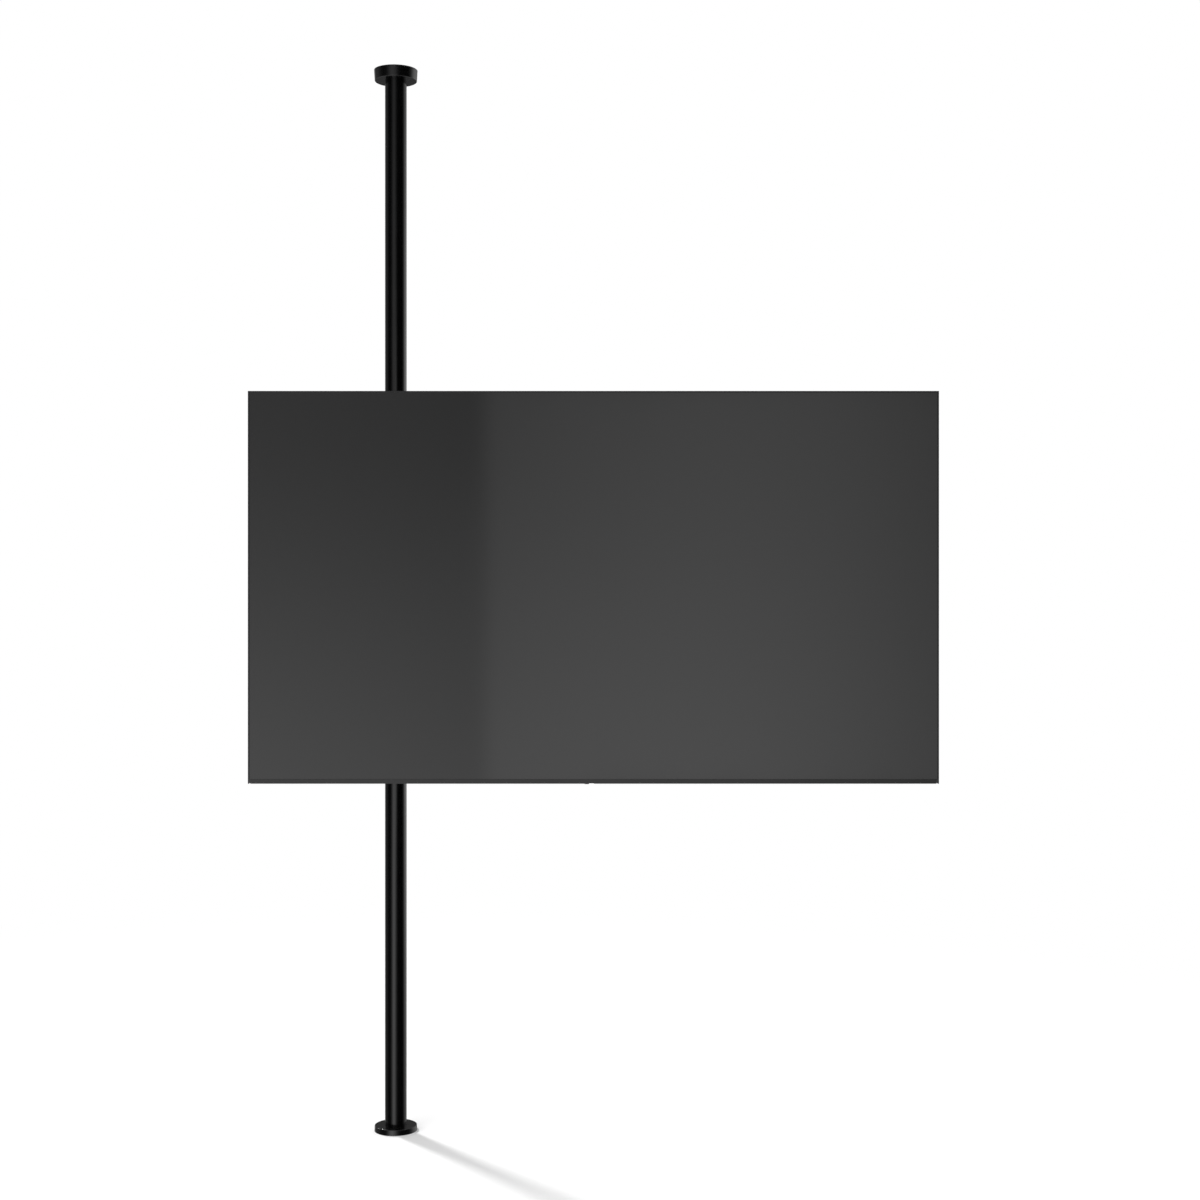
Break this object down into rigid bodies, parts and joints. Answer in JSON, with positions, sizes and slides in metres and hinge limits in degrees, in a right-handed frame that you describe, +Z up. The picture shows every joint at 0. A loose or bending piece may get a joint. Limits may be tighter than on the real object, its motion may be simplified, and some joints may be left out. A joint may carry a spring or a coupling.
{
  "type": "floor-to-ceiling tv pole mount",
  "caption": "Round black pole fixed between floor and ceiling under a cup and a rosette, with a sliding swing arm and a tilting head that carries a wide flat screen off to one side.",
  "frame": {"origin": "on the floor at the pole's axis, in the middle of the floor plate's fixing circle", "axes": "+Z up along the pole, the screen faces -Y, the arm reaches along +X at rest"},
  "size_m": [1.552, 0.261, 2.5],
  "materials": {
    "pole_coat": "satin black powder coat",
    "cover_coat": "satin black coat, turned edge",
    "bracket_coat": "fine matt black powder coat",
    "zinc_steel": "zinc plated",
    "dark_steel": "black oxide",
    "nylon": "moulded nylon",
    "ring_rubber": "smooth",
    "frame_metal": "black anodised",
    "trim_plastic": "fine matt moulding",
    "screen_glass": "semi-gloss anti-glare front",
    "sensor_lens": "dark tinted",
    "button_plastic": "matt",
    "chassis_steel": "matt black sheet",
    "cover_plastic": "fine textured moulding",
    "socket_plastic": "smooth",
    "diffuser_plastic": "opal",
    "light_bar": "white board",
    "circuit_board": "green solder mask",
    "speaker_box": "moulded"
  },
  "bodies": {
    "pole": {"floor_plate": "bracket_coat", "pole_tube": "pole_coat", "floor_grub_screws": "dark_steel", "ceiling_grub_screws": "dark_steel"},
    "ceiling_end": {"ceiling_plate": "bracket_coat"},
    "ceiling_cover": {"ceiling_cup": "cover_coat", "cup_grip_ring": "ring_rubber"},
    "floor_cover": {"floor_rosette": "cover_coat"},
    "carriage": {"upper_collar": "bracket_coat", "lower_collar": "bracket_coat", "collar_screws": "dark_steel"},
    "arm": {"swing_arm": "bracket_coat", "upper_pole_bush": "nylon", "lower_pole_bush": "nylon", "upper_pivot_bush": "nylon", "lower_pivot_bush": "nylon"},
    "head": {"head_yoke": "bracket_coat", "pivot_bolt": "dark_steel", "pivot_nut": "zinc_steel", "pivot_washers": "zinc_steel", "tilt_bolts": "dark_steel", "tilt_nuts": "zinc_steel", "tilt_washers": "zinc_steel"},
    "screen": {"tilt_plate": "bracket_coat", "upper_cross_rail": "bracket_coat", "lower_cross_rail": "bracket_coat", "cross_rail_bolts": "dark_steel", "cross_rail_nuts": "zinc_steel", "left_hook_rail": "bracket_coat", "right_hook_rail": "bracket_coat", "hook_lock_bolts": "dark_steel", "vesa_bolts": "dark_steel", "vesa_washers": "zinc_steel", "vesa_posts": "zinc_steel", "left_frame_bar": "frame_metal", "right_frame_bar": "frame_metal", "top_frame_bar": "frame_metal", "bottom_trim": "trim_plastic", "display_panel": "screen_glass", "sensor_window": "sensor_lens", "button_switch": "speaker_box", "backlight_chassis": "chassis_steel", "diffuser_plate": "diffuser_plastic", "led_bars": "light_bar", "electronics_cover": "cover_plastic", "cover_screws": "dark_steel", "main_board": "circuit_board", "power_board": "circuit_board", "left_speaker": "speaker_box", "right_speaker": "speaker_box", "port_panel": "socket_plastic", "power_inlet": "socket_plastic"},
    "button": {"power_button": "button_plastic"}
  },
  "joints": [
    {"name": "height_slide", "type": "slide", "parent": "pole", "child": "carriage", "axis": [0, 0, 1], "range_m": [-0.6, 0.6]},
    {"name": "arm_swivel", "type": "hinge", "parent": "carriage", "child": "arm", "pos_m": [0, 0, 1.24], "axis": [0, 0, 1], "continuous": true},
    {"name": "head_swivel", "type": "hinge", "parent": "arm", "child": "head", "pos_m": [0.467, 0, 1.24], "axis": [0, 0, 1], "range_deg": [-8, 90]},
    {"name": "screen_tilt", "type": "hinge", "parent": "head", "child": "screen", "pos_m": [0.467, -0.093, 1.24], "axis": [1, 0, 0], "range_deg": [-5, 10]},
    {"name": "button_press", "type": "slide", "parent": "screen", "child": "button", "axis": [0, 0, 1], "range_m": [0, 0.001], "stiffness_N_per_m": 1500},
    {"name": "ceiling_telescope", "type": "slide", "parent": "pole", "child": "ceiling_end", "axis": [0, 0, 1], "range_m": [-0.008, 0.06]},
    {"name": "ceiling_cover_slide", "type": "slide", "parent": "pole", "child": "ceiling_cover", "axis": [0, 0, 1], "range_m": [-0.15, 0]},
    {"name": "floor_cover_lift", "type": "slide", "parent": "pole", "child": "floor_cover", "axis": [0, 0, 1], "range_m": [0, 0.15]}
  ]
}
